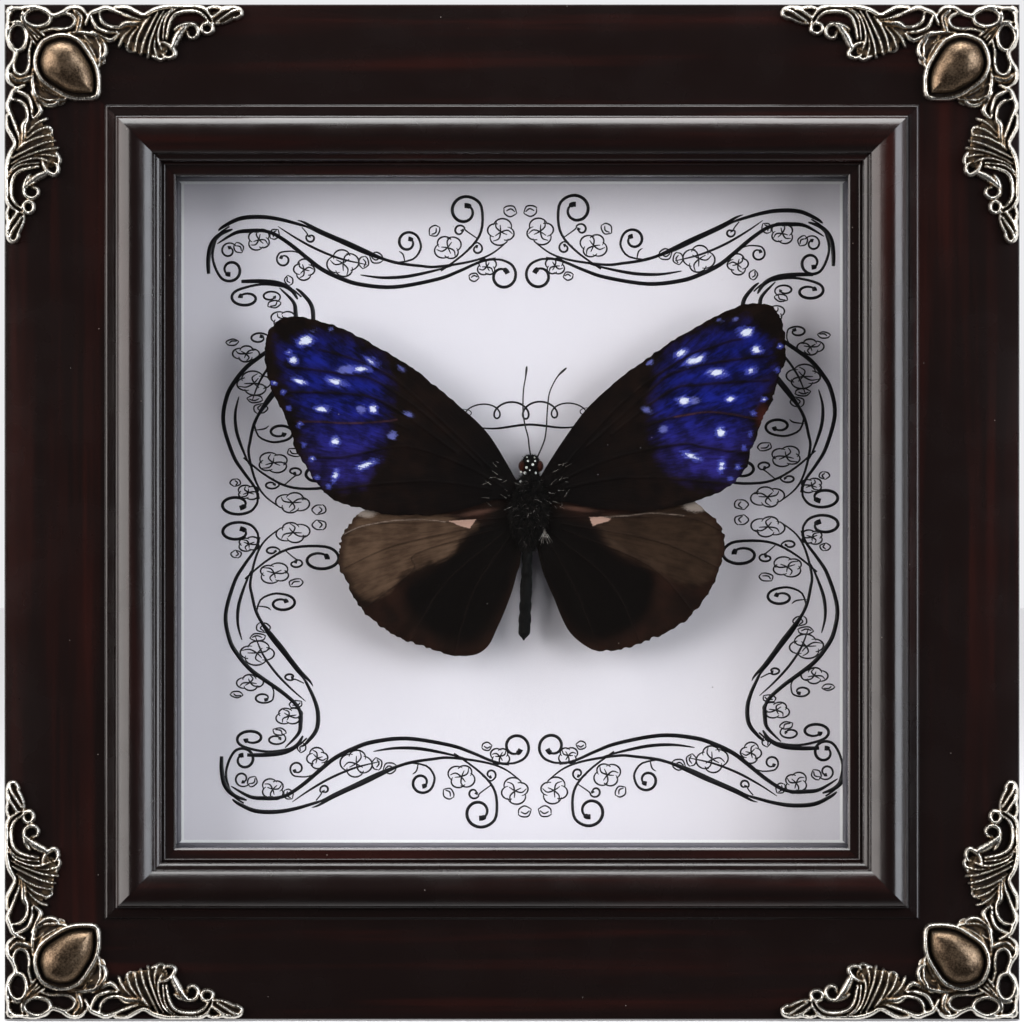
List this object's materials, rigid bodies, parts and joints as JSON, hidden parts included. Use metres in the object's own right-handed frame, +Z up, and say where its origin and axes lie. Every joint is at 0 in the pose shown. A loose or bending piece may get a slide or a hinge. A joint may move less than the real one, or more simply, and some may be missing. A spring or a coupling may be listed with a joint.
{
  "type": "framed butterfly specimen",
  "caption": "Square deep display frame with cast corner ornaments, holding a spread dried butterfly behind glass over a scroll-printed card.",
  "frame": {"origin": "centre of the frame's bottom edge, halfway between its front and its back", "axes": "+Z up, +X to the viewer's right, +Y from the front to the back, so that the glass faces -Y"},
  "size_m": [0.17, 0.0334, 0.17],
  "materials": {
    "frame_wood": "near-black red-brown mahogany under satin lacquer",
    "ornament_metal": "antique cast metal, dark in the recesses and rubbed bright on the high points",
    "glass": "clear, polished",
    "spacer": "black, satin",
    "printed_card": "smooth pale lavender card with a black scroll print",
    "back_board": "bare brown hardboard",
    "insect_body": "dry black chitin and short hairs",
    "forewing": "velvety scales, iridescent blue over brown-black with pale spots",
    "hindwing": "velvety brown-black scales, greyer and thinner towards the outer edge",
    "foam": "white foam",
    "tab_steel": "zinc plated",
    "hanger_metal": "brassed steel"
  },
  "bodies": {
    "root": {"rail_top": "frame_wood", "rail_bottom": "frame_wood", "rail_left": "frame_wood", "rail_right": "frame_wood", "corner_ornament_top_left": "ornament_metal", "corner_ornament_top_right": "ornament_metal", "corner_ornament_bottom_left": "ornament_metal", "corner_ornament_bottom_right": "ornament_metal", "glass_pane": "glass", "spacer_top": "spacer", "spacer_bottom": "spacer", "spacer_left": "spacer", "spacer_right": "spacer", "backing_card": "printed_card", "back_board": "back_board", "butterfly_body": "insect_body", "antenna_left": "insect_body", "antenna_right": "insect_body", "forewing_left": "forewing", "forewing_right": "forewing", "hindwing_left": "hindwing", "hindwing_right": "hindwing", "mounting_pad": "foam", "retaining_tab_top_1": "tab_steel", "retaining_tab_top_2": "tab_steel", "retaining_tab_bottom_1": "tab_steel", "retaining_tab_bottom_2": "tab_steel", "retaining_tab_left_1": "tab_steel", "retaining_tab_left_2": "tab_steel", "retaining_tab_right_1": "tab_steel", "retaining_tab_right_2": "tab_steel", "sawtooth_hanger": "hanger_metal", "hanger_nail_left": "hanger_metal", "hanger_nail_right": "hanger_metal"}
  },
  "joints": []
}
